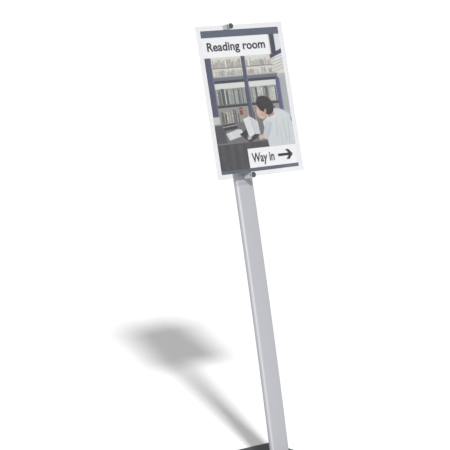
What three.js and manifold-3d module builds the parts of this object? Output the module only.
// A floor sign stand: a flat steel foot, a slim aluminium post that leans back and bends very slightly, and
// a head that turns a quarter turn and grips two clear sheets with a poster between them.
// Millimetres, +Z up, the front faces -Y, origin at the middle of the foot's underside on the floor.
import * as THREE from "three";
import { mergeVertices } from "three/addons/utils/BufferGeometryUtils.js";
import Module from "manifold-3d";

// Clearance left between pieces that touch.
const gap = 0.3;
// How far a cutter, or a solid that is joined to another, reaches past the face it meets.
const overshoot = 1;

// Foot.
const baseWidth = 290;
const baseDepth = 290;
const baseThickness = 8;
const baseCornerRadius = 8;
const baseEdgeRadius = 1.2;
const padThickness = 1.5;
const padMargin = 3;
const footFromFront = 72;

// Post: a flat oval section along one large arc.
const postWidth = 67;
const postDepth = 18;
const postWall = 2;
const postLength = 1194;
const postFootLean = THREE.MathUtils.degToRad(10.8);
const postBendRadius = 21600;
const postSteps = 12;
const tenonLength = 70;
const capThickness = 3;
const capPlug = 12;
const capEdgeRadius = 0.8;

// Sheets and poster.
const posterWidth = 297;
const posterHeight = 420;
const posterThickness = 0.3;
const sheetSideBorder = 15;
const sheetEndBorder = 13.5;
const sheetThickness = 2;
const sheetCornerRadius = 3;
const sheetOffset = 35;

// Swivel, this far below the post's top end.
const swivelFromTop = 105;
const swivelRadius = 30;
const swivelThickness = 5;
const backingWidth = 44;
const backingHeight = 70;
const backingThickness = 3;
const washerRadius = 16;
const washerThickness = 1.5;
const stopPinRadius = 2.5;
const stopPinReach = 22;
const stopPinAngle = Math.PI / 4;
const pinSeat = 1;
const pinProud = 1;
const turnAngle = Math.PI / 2;

// Holder bar, clips and slider.
const hubRadius = 32;
const barThickness = 5;
const clipDiameter = 16.5;
const clipReach = 21;
const clipInset = 4;
const clipJaw = 1.8;
const clipCapThickness = 2.2;
const clipCapEdge = 0.6;
const clipTravel = 14;
const sliderThickness = 4;
const sliderWeb = 10.6;
const guideFromClip = 38;
const guideMargin = 12;
const anchorDrop = 28;
const anchorRadius = 3;
const anchorPegRadius = 2;
const anchorLength = 8;
const springRadius = 3.75;
const springWire = 0.45;
const springCoils = 9;
const springLength = 31;
const lugHeight = 4;
const lugLength = 4;

// Fasteners: shaft radius, head radius, head height, shaft length, socket radius and socket depth.
const baseScrew = { shaft: 3, head: 6, height: 3.3, length: 19, socket: 2.3, recess: 2 };
const lockScrew = { shaft: 2.5, head: 4.75, height: 2.8, length: 9, socket: 1.7, recess: 1.6 };
const swivelScrew = { shaft: 2.5, head: 4.8, height: 2.8, length: 10, socket: 1.7, recess: 1.5 };
const clipScrew = { shaft: 2, head: 3.8, height: 2.2, length: 17, socket: 1.4, recess: 1.3 };
const guideScrew = { shaft: 2.5, head: 4.6, height: 2.6, length: 8.8, socket: 1.7, recess: 1.4 };
const pivotBolt = { shaft: 4, head: 7.5, height: 5.3, nutHeight: 6.5, spare: 1.6 };
const baseScrewSpread = 36;
const lockScrewLow = 32;
const lockScrewHigh = 56;
const swivelScrewReach = 21;
const discSpringRadius = 10;
const discSpringThickness = 1;
const discSpringRise = 2;
const flatWasherRadius = 9;
const flatWasherThickness = 1.6;

const roundSegments = 32;
const smallSegments = 16;
const arcSegments = 5;

// Heights on the foot.
const baseBottom = padThickness + gap;
const baseTop = baseBottom + baseThickness;
const footY = footFromFront - baseDepth / 2;
const sheetWidth = posterWidth + 2 * sheetSideBorder;
const sheetHeight = posterHeight + 2 * sheetEndBorder;

// Places along the head's own y, which points from the sheets into the post. The post's middle is at 0.
const postFront = -postDepth / 2;
const swivelFront = postFront - gap - swivelThickness;
const washerFront = swivelFront - gap - washerThickness;
const barBack = washerFront - gap;
const barFront = barBack - barThickness;
const sliderBack = barFront - gap;
const sliderFront = sliderBack - sliderThickness;
const sheetsBack = barFront - clipReach;
const posterBack = sheetsBack - sheetThickness - gap;
const frontSheetBack = posterBack - posterThickness - gap;
const sheetsFront = frontSheetBack - sheetThickness;
const jawFront = sheetsFront - gap - clipJaw;
const backingBack = postFront + postWall + gap + backingThickness;
const discSpringBack = barFront - gap;
const flatWasherBack = discSpringBack - discSpringRise - gap;
const nutBack = flatWasherBack - flatWasherThickness - gap;

// Places along the head's own z, which runs up along the post from the pivot.
const clipHeight = sheetHeight / 2 - clipInset;
const guideHigh = clipHeight - guideFromClip;
const anchorHeight = guideHigh - anchorDrop;
const springFoot = anchorHeight - anchorRadius - gap - springLength;
const springSeat = springFoot - gap;
const guideLow = springSeat - lugHeight - sliderWeb - guideScrew.shaft - gap;
const sliderFoot = guideLow - clipTravel - guideScrew.shaft - gap - sliderWeb;

const wasm = await Module();
wasm.setup();

// A point and a lean at a distance along the post's middle line, which is an arc in the YZ plane.
function leanAt(distance) {
  return postFootLean + distance / postBendRadius;
}

function pointAt(distance) {
  const lean = leanAt(distance);
  const y = footY + postBendRadius * (Math.cos(postFootLean) - Math.cos(lean));
  const z = postBendRadius * (Math.sin(lean) - Math.sin(postFootLean));
  return new THREE.Vector3(0, y, z);
}

class PostLine extends THREE.Curve {
  constructor(start, end) {
    super();
    this.start = start;
    this.end = end;
  }

  getPoint(share, target = new THREE.Vector3()) {
    return target.copy(pointAt(this.start + share * (this.end - this.start)));
  }
}

class CoilLine extends THREE.Curve {
  getPoint(share, target = new THREE.Vector3()) {
    const angle = 2 * Math.PI * springCoils * share;
    const radius = springRadius - springWire;
    const rise = (springLength - 2 * springWire) * share + springWire;
    return target.set(radius * Math.cos(angle), radius * Math.sin(angle), rise);
  }
}

// A frame on the post: +y points out of its back, +z runs up along it.
function frameOnPost(distance) {
  const frame = new THREE.Group();
  frame.position.copy(pointAt(distance));
  frame.rotation.x = -leanAt(distance);
  frame.updateMatrixWorld(true);
  return frame;
}

function solidOf(geometry) {
  const bare = geometry.clone();
  bare.deleteAttribute("normal");
  bare.deleteAttribute("uv");
  const merged = mergeVertices(bare, 1e-4);
  const mesh = new wasm.Mesh({
    numProp: 3,
    vertProperties: new Float32Array(merged.attributes.position.array),
    triVerts: new Uint32Array(merged.index.array),
  });
  return new wasm.Manifold(mesh);
}

function geometryOf(solid) {
  const mesh = solid.getMesh();
  const geometry = new THREE.BufferGeometry();
  geometry.setAttribute("position", new THREE.BufferAttribute(mesh.vertProperties, 3));
  geometry.setIndex(new THREE.BufferAttribute(mesh.triVerts, 1));
  return geometry;
}

function cut(geometry, tools) {
  let solid = solidOf(geometry);
  for (const tool of tools) {
    solid = solid.subtract(solidOf(tool));
  }
  return geometryOf(solid);
}

function join(geometries) {
  let solid = solidOf(geometries[0]);
  for (const geometry of geometries.slice(1)) {
    solid = solid.add(solidOf(geometry));
  }
  return geometryOf(solid);
}

function box(x0, x1, y0, y1, z0, z1) {
  const geometry = new THREE.BoxGeometry(x1 - x0, y1 - y0, z1 - z0);
  return geometry.translate((x0 + x1) / 2, (y0 + y1) / 2, (z0 + z1) / 2);
}

// A rod along y between two places.
function rod(radius, yFrom, yTo, x = 0, z = 0, segments = roundSegments) {
  const geometry = new THREE.CylinderGeometry(radius, radius, Math.abs(yTo - yFrom), segments);
  return geometry.translate(x, (yFrom + yTo) / 2, z);
}

// A ring turned about the y axis, from a profile of [radius, y] corners that closes on itself.
function ring(corners) {
  const points = [...corners, corners[0]].map(([radius, y]) => new THREE.Vector2(radius, y));
  return new THREE.LatheGeometry(points, roundSegments);
}

function flatRing(inner, outer, yBack, thickness) {
  const yFront = yBack - thickness;
  return ring([[inner, yFront], [outer, yFront], [outer, yBack], [inner, yBack]]);
}

// A flat oval: straight faces joined by half circles.
function flatOval(width, depth) {
  const radius = depth / 2;
  const reach = width / 2 - radius;
  const shape = new THREE.Shape();
  shape.absarc(reach, 0, radius, -Math.PI / 2, Math.PI / 2, false);
  shape.absarc(-reach, 0, radius, Math.PI / 2, (3 * Math.PI) / 2, false);
  return shape;
}

function roundedRectangle(width, height, radius) {
  const x = width / 2 - radius;
  const y = height / 2 - radius;
  const shape = new THREE.Shape();
  shape.absarc(x, -y, radius, -Math.PI / 2, 0, false);
  shape.absarc(x, y, radius, 0, Math.PI / 2, false);
  shape.absarc(-x, y, radius, Math.PI / 2, Math.PI, false);
  shape.absarc(-x, -y, radius, Math.PI, (3 * Math.PI) / 2, false);
  return shape;
}

// A slot outline between two heights on the head's middle line.
function slot(radius, zLow, zHigh) {
  const shape = new THREE.Shape();
  shape.absarc(0, zHigh, radius, 0, Math.PI, false);
  shape.absarc(0, zLow, radius, Math.PI, 2 * Math.PI, false);
  return shape;
}

// An outline extruded straight up along z.
function upright(shape, height, bevel = 0) {
  return new THREE.ExtrudeGeometry(shape, {
    depth: height - 2 * bevel,
    bevelEnabled: bevel > 0,
    bevelThickness: bevel,
    bevelSize: bevel,
    bevelOffset: -bevel,
    bevelSegments: 3,
    curveSegments: arcSegments,
  }).translate(0, 0, bevel);
}

// An outline in the head's x and z, with its thickness along -y from its back face.
function plate(shape, thickness, yBack) {
  return upright(shape, thickness).rotateX(Math.PI / 2).translate(0, yBack, 0);
}

function alongPost(shape, start, end) {
  return new THREE.ExtrudeGeometry(shape, {
    steps: Math.max(2, Math.ceil((postSteps * (end - start)) / postLength)),
    bevelEnabled: false,
    curveSegments: arcSegments,
    extrudePath: new PostLine(start, end),
  });
}

// A domed screw along y: the head stands above y = 0 and the shaft runs down from it.
function domedScrew(size) {
  const points = [new THREE.Vector2(0, -size.length)];
  points.push(new THREE.Vector2(size.shaft, -size.length));
  points.push(new THREE.Vector2(size.shaft, 0));
  const arcSteps = 6;
  for (let i = 0; i <= arcSteps; i += 1) {
    const angle = (i / arcSteps) * (Math.PI / 2);
    const radius = i === arcSteps ? 0 : size.head * Math.cos(angle);
    points.push(new THREE.Vector2(radius, size.height * Math.sin(angle)));
  }
  const body = new THREE.LatheGeometry(points, smallSegments);
  const socket = new THREE.CylinderGeometry(size.socket, size.socket, size.recess * 2, 6);
  return cut(body, [socket.translate(0, size.height, 0)]);
}

// A countersunk screw along y: its flat head ends at y = 0 and everything lies below it.
function sunkScrew(size) {
  const points = [
    new THREE.Vector2(0, -size.length),
    new THREE.Vector2(size.shaft, -size.length),
    new THREE.Vector2(size.shaft, -size.height),
    new THREE.Vector2(size.head, -gap),
    new THREE.Vector2(size.head, 0),
    new THREE.Vector2(0, 0),
  ];
  const body = new THREE.LatheGeometry(points, smallSegments);
  const socket = new THREE.CylinderGeometry(size.socket, size.socket, size.recess * 2, 6);
  return cut(body, [socket]);
}

// The hole that such a screw sits in, a gap wider all round.
function sunkHole(size) {
  const points = [
    new THREE.Vector2(0, -size.length - gap),
    new THREE.Vector2(size.shaft + gap, -size.length - gap),
    new THREE.Vector2(size.shaft + gap, -size.height - gap),
    new THREE.Vector2(size.head + gap, -gap),
    new THREE.Vector2(size.head + gap, overshoot),
    new THREE.Vector2(0, overshoot),
  ];
  return new THREE.LatheGeometry(points, smallSegments);
}

const finishes = {
  powderSteel: { color: 0x424649, roughness: 0.6, metalness: 0.2 },
  rubber: { color: 0x202224, roughness: 0.9, metalness: 0 },
  satinAluminium: { color: 0xbebdc2, roughness: 0.38, metalness: 0.9 },
  acrylic: { color: 0xf2f6f8, roughness: 0.05, metalness: 0, transparent: true, opacity: 0.25 },
  paper: { color: 0x8a93a0, roughness: 0.7, metalness: 0 },
  darkPlastic: { color: 0x4a4c4e, roughness: 0.5, metalness: 0 },
  paleMetal: { color: 0xd2d3d4, roughness: 0.35, metalness: 0.7 },
  steel: { color: 0xa8a9ab, roughness: 0.35, metalness: 0.9 },
  whitePlastic: { color: 0xdedede, roughness: 0.5, metalness: 0 },
};

function add(parent, name, geometry, finish) {
  const mesh = new THREE.Mesh(geometry, new THREE.MeshStandardMaterial(finishes[finish]));
  mesh.name = name;
  parent.add(mesh);
  return mesh;
}

const stand = new THREE.Group();
const swivelFrame = frameOnPost(postLength - swivelFromTop);
const head = new THREE.Group();
const topClip = new THREE.Group();
const sheets = new THREE.Group();
sheets.position.x = sheetOffset;
swivelFrame.add(head);
head.add(topClip);
head.add(sheets);
stand.add(swivelFrame);

// Puts a cutter made in one of the frames into the stand's own coordinates.
function placed(geometry, frame) {
  return geometry.clone().applyMatrix4(frame.matrixWorld);
}

function makeFoot() {
  const padShape = roundedRectangle(baseWidth - 2 * padMargin, baseDepth - 2 * padMargin, baseCornerRadius);
  add(stand, "floor_pad", upright(padShape, padThickness), "rubber");

  const outline = roundedRectangle(baseWidth, baseDepth, baseCornerRadius);
  const base = upright(outline, baseThickness, baseEdgeRadius).translate(0, 0, baseBottom);
  const tenonShape = flatOval(postWidth - 2 * postWall - 2 * gap, postDepth - 2 * postWall - 2 * gap);
  const below = box(-baseWidth, baseWidth, -baseDepth, baseDepth, -baseDepth, baseTop + gap);
  const tenon = cut(alongPost(tenonShape, 0, tenonLength), [below]);

  const engaged = baseScrew.length - baseThickness;
  const screwY = footY + Math.tan(postFootLean) * (baseTop + engaged / 2);
  const screwHoles = [];
  for (const [side, name] of [[-1, "base_screw_left"], [1, "base_screw_right"]]) {
    const x = (side * baseScrewSpread) / 2;
    const screw = add(stand, name, sunkScrew(baseScrew), "steel");
    screw.position.set(x, screwY, baseBottom);
    screw.rotation.x = -Math.PI / 2;
    screwHoles.push(sunkHole(baseScrew).rotateX(-Math.PI / 2).translate(x, screwY, baseBottom));
  }
  add(stand, "base_plate", cut(base, screwHoles), "powderSteel");

  const lockHoles = [];
  const lockShaft = lockScrew.length + gap;
  for (const [distance, name] of [[lockScrewLow, "lower"], [lockScrewHigh, "upper"]]) {
    const frame = frameOnPost(distance);
    const screw = add(frame, "post_lock_screw_" + name, domedScrew(lockScrew), "steel");
    screw.position.y = postDepth / 2 + gap;
    stand.add(frame);
    const hole = rod(lockScrew.shaft + gap, screw.position.y - lockShaft, postDepth);
    lockHoles.push(placed(hole, frame));
  }
  add(stand, "foot_tenon", cut(tenon, [...screwHoles, ...lockHoles]), "steel");
  return lockHoles;
}

function makePost(lockHoles) {
  const section = flatOval(postWidth, postDepth);
  section.holes.push(flatOval(postWidth - 2 * postWall, postDepth - 2 * postWall));
  const below = box(-baseWidth, baseWidth, -baseDepth, baseDepth, -baseDepth, baseTop + gap);
  const pivotHole = rod(pivotBolt.shaft + gap, postFront - overshoot, backingBack);
  const screwHoles = [-1, 1].map((side) =>
    rod(swivelScrew.shaft + gap, postFront - overshoot, backingBack, 0, side * swivelScrewReach),
  );
  const headHoles = [pivotHole, ...screwHoles].map((hole) => placed(hole, swivelFrame));
  const post = cut(alongPost(section, -postDepth, postLength), [below, ...lockHoles, ...headHoles]);
  add(stand, "post", post, "satinAluminium");

  const frame = frameOnPost(postLength);
  const plugShape = flatOval(postWidth - 2 * postWall - 2 * gap, postDepth - 2 * postWall - 2 * gap);
  const plug = upright(plugShape, capPlug + 2 * gap).translate(0, 0, -capPlug);
  const lid = upright(flatOval(postWidth, postDepth), capThickness, capEdgeRadius).translate(0, 0, gap);
  add(frame, "post_cap", join([lid, plug]), "darkPlastic");
  stand.add(frame);
}

// What stays on the post: the threaded plate inside it, the round plate outside, and the bolt.
function makeSwivel() {
  const screwHeights = [-swivelScrewReach, swivelScrewReach];
  const threads = screwHeights.map((z) =>
    rod(swivelScrew.shaft + gap, postFront, backingBack + overshoot, 0, z, smallSegments),
  );
  const backing = box(
    -backingWidth / 2, backingWidth / 2,
    backingBack - backingThickness, backingBack,
    -backingHeight / 2, backingHeight / 2,
  );
  const boltHole = rod(pivotBolt.shaft + gap, swivelFront - overshoot, backingBack + overshoot);
  add(swivelFrame, "backing_plate", cut(backing, [boltHole, ...threads]), "steel");

  const pinX = stopPinReach * Math.cos(stopPinAngle);
  const pinZ = stopPinReach * Math.sin(stopPinAngle);
  const pinBack = postFront - gap - pinSeat;
  const disc = rod(swivelRadius, swivelFront, postFront - gap);
  const sunkHoles = screwHeights.map((z) =>
    sunkHole(swivelScrew).rotateX(Math.PI).translate(0, swivelFront, z),
  );
  const pinHole = rod(stopPinRadius + gap, swivelFront - overshoot, pinBack + gap, pinX, pinZ, smallSegments);
  add(swivelFrame, "swivel_base", cut(disc, [boltHole, pinHole, ...sunkHoles]), "satinAluminium");
  const pin = rod(stopPinRadius, barFront - pinProud, pinBack, pinX, pinZ, smallSegments);
  add(swivelFrame, "stop_pin", pin, "steel");

  for (const [z, name] of [[-swivelScrewReach, "lower"], [swivelScrewReach, "upper"]]) {
    const screw = add(swivelFrame, "swivel_screw_" + name, sunkScrew(swivelScrew), "steel");
    screw.position.set(0, swivelFront, z);
    screw.rotation.x = Math.PI;
  }

  const boltEnd = nutBack - pivotBolt.nutHeight - pivotBolt.spare;
  const headBack = backingBack + gap + pivotBolt.height;
  const boltHead = rod(pivotBolt.head, backingBack + gap, headBack, 0, 0, 6);
  const shaft = rod(pivotBolt.shaft, boltEnd, backingBack + gap + overshoot, 0, 0, smallSegments);
  add(swivelFrame, "pivot_bolt", join([boltHead, shaft]), "steel");
  const bore = pivotBolt.shaft + gap;
  const washer = flatRing(bore, flatWasherRadius, flatWasherBack, flatWasherThickness);
  add(swivelFrame, "pivot_washer", washer, "steel");
  const nut = rod(pivotBolt.head, nutBack - pivotBolt.nutHeight, nutBack, 0, 0, 6);
  const nutFront = nutBack - pivotBolt.nutHeight;
  const nutHole = rod(bore, nutFront - overshoot, nutBack + overshoot, 0, 0, smallSegments);
  add(swivelFrame, "pivot_nut", cut(nut, [nutHole]), "steel");
}

// The arc slot in the hub that the stop pin runs in, from the pin's place at rest to a quarter turn back.
function stopSlot() {
  const inner = stopPinReach - stopPinRadius - gap;
  const outer = stopPinReach + stopPinRadius + gap;
  const endRadius = stopPinRadius + gap;
  const from = stopPinAngle - turnAngle;
  const shape = new THREE.Shape();
  shape.absarc(0, 0, outer, from, stopPinAngle, false);
  shape.absarc(
    stopPinReach * Math.cos(stopPinAngle), stopPinReach * Math.sin(stopPinAngle),
    endRadius, stopPinAngle, stopPinAngle + Math.PI, false,
  );
  shape.absarc(0, 0, inner, stopPinAngle, from, true);
  shape.absarc(
    stopPinReach * Math.cos(from), stopPinReach * Math.sin(from),
    endRadius, from + Math.PI, from + 2 * Math.PI, false,
  );
  return plate(shape, barThickness + 2 * overshoot, barBack + overshoot);
}

function makeHolder() {
  const bore = pivotBolt.shaft + gap;
  add(head, "friction_washer", flatRing(bore, washerRadius, washerFront + washerThickness, washerThickness),
    "whitePlastic");

  const barTop = guideHigh + guideMargin;
  const barShape = slot(clipDiameter / 2, -clipHeight, barTop - clipDiameter / 2);
  const bar = join([plate(barShape, barThickness, barBack), rod(hubRadius, barFront, barBack)]);
  const through = (radius, z) => rod(radius, barFront - overshoot, barBack + overshoot, 0, z, smallSegments);
  const holes = [
    through(bore, 0),
    through(clipScrew.shaft + gap, -clipHeight),
    through(guideScrew.shaft + gap, guideLow),
    through(guideScrew.shaft + gap, guideHigh),
    through(anchorPegRadius + gap, anchorHeight),
  ];
  add(head, "holder_bar", cut(bar, [...holes, stopSlot()]), "satinAluminium");

  const dish = discSpringBack - discSpringRise;
  const dished = ring([
    [bore, dish], [bore + discSpringThickness, dish],
    [discSpringRadius, discSpringBack - discSpringThickness], [discSpringRadius, discSpringBack],
    [discSpringRadius - discSpringThickness, discSpringBack], [bore, dish + discSpringThickness],
  ]);
  add(head, "disc_spring", dished, "steel");

  for (const [z, name] of [[guideLow, "lower"], [guideHigh, "upper"]]) {
    const screw = add(head, "guide_screw_" + name, domedScrew(guideScrew), "steel");
    screw.position.set(0, sliderFront - gap, z);
    screw.rotation.x = Math.PI;
  }

  const anchorBack = barFront - gap;
  const post = rod(anchorRadius, anchorBack - anchorLength, anchorBack, 0, anchorHeight, smallSegments);
  const peg = rod(anchorPegRadius, barFront - overshoot, barBack, 0, anchorHeight, smallSegments);
  add(head, "spring_anchor", join([post, peg]), "steel");

  const wire = new THREE.Shape().absarc(0, 0, springWire, 0, 2 * Math.PI, false);
  const spring = new THREE.ExtrudeGeometry(wire, {
    steps: springCoils * 12,
    bevelEnabled: false,
    curveSegments: 3,
    extrudePath: new CoilLine(),
  });
  add(head, "clip_spring", spring.translate(0, barFront - gap - springRadius, springFoot), "steel");
}

// A round clip body with a slot across it for the sheets; side is 1 at the top and -1 at the bottom.
function clipBody(yBack, side) {
  const radius = clipDiameter / 2;
  const body = rod(radius, jawFront, yBack, 0, side * clipHeight);
  const slotEnd = side * (sheetHeight / 2 + gap);
  const slotMouth = side * (sheetHeight / 2 - clipDiameter);
  const groove = box(
    -clipDiameter, clipDiameter,
    sheetsFront - gap, sheetsBack + gap,
    Math.min(slotEnd, slotMouth), Math.max(slotEnd, slotMouth),
  );
  const depth = clipScrew.length - (yBack === sliderFront - gap ? sliderThickness : barThickness);
  const bore = clipScrew.shaft + gap;
  const thread = rod(bore, yBack - depth, yBack + overshoot, 0, side * clipHeight, smallSegments);
  return cut(body, [groove, thread]);
}

function clipCap(side) {
  const back = jawFront - gap;
  const front = back - clipCapThickness;
  const radius = clipDiameter / 2;
  const points = [new THREE.Vector2(0, front)];
  const arcSteps = 4;
  for (let i = 0; i <= arcSteps; i += 1) {
    const angle = (i / arcSteps) * (Math.PI / 2);
    const edge = radius - clipCapEdge + clipCapEdge * Math.sin(angle);
    points.push(new THREE.Vector2(edge, front + clipCapEdge * (1 - Math.cos(angle))));
  }
  points.push(new THREE.Vector2(radius, back));
  points.push(new THREE.Vector2(0, back));
  return new THREE.LatheGeometry(points, roundSegments).translate(0, 0, side * clipHeight);
}

function makeBottomClip() {
  add(head, "clip_body_bottom", clipBody(barFront - gap, -1), "paleMetal");
  add(head, "clip_cap_bottom", clipCap(-1), "darkPlastic");
  const screw = add(head, "clip_screw_bottom", domedScrew(clipScrew), "steel");
  screw.position.set(0, barBack + gap, -clipHeight);
}

// The top clip rides on a slider that two shoulder screws guide and a spring pushes down.
function makeTopClip() {
  const half = clipDiameter / 2;
  const cutFront = sliderFront - overshoot;
  const cutBack = sliderBack + overshoot;
  const slideSlot = (z) =>
    plate(slot(guideScrew.shaft + gap, z - clipTravel, z), cutBack - cutFront, cutBack);
  const windowTop = anchorHeight + anchorRadius + gap;
  const windowSide = springRadius + 2 * gap;
  const window = box(-windowSide, windowSide, cutFront, cutBack, springSeat, windowTop);
  const body = plate(slot(half, sliderFoot + half, clipHeight), sliderThickness, sliderBack);
  const lug = box(
    -windowSide, windowSide,
    sliderFront - lugLength, sliderFront + overshoot,
    springSeat - lugHeight, springSeat,
  );
  const screwHole = rod(clipScrew.shaft + gap, cutFront, cutBack, 0, clipHeight, smallSegments);
  const cutters = [slideSlot(guideLow), slideSlot(guideHigh), window, screwHole];
  add(topClip, "clip_slider", cut(join([body, lug]), cutters), "paleMetal");
  add(topClip, "clip_body_top", clipBody(sliderFront - gap, 1), "paleMetal");
  add(topClip, "clip_cap_top", clipCap(1), "darkPlastic");
  const screw = add(topClip, "clip_screw_top", domedScrew(clipScrew), "steel");
  screw.position.set(0, sliderBack + gap, clipHeight);
}

function makeSheets() {
  const outline = () => roundedRectangle(sheetWidth, sheetHeight, sheetCornerRadius);
  const poster = box(
    -posterWidth / 2, posterWidth / 2,
    posterBack - posterThickness, posterBack,
    -posterHeight / 2, posterHeight / 2,
  );
  add(sheets, "back_sheet", plate(outline(), sheetThickness, sheetsBack), "acrylic");
  add(sheets, "print_sheet", poster, "paper");
  add(sheets, "front_sheet", plate(outline(), sheetThickness, frontSheetBack), "acrylic");
}

makePost(makeFoot());
makeSwivel();
makeHolder();
makeTopClip();
makeBottomClip();
makeSheets();

export default stand;
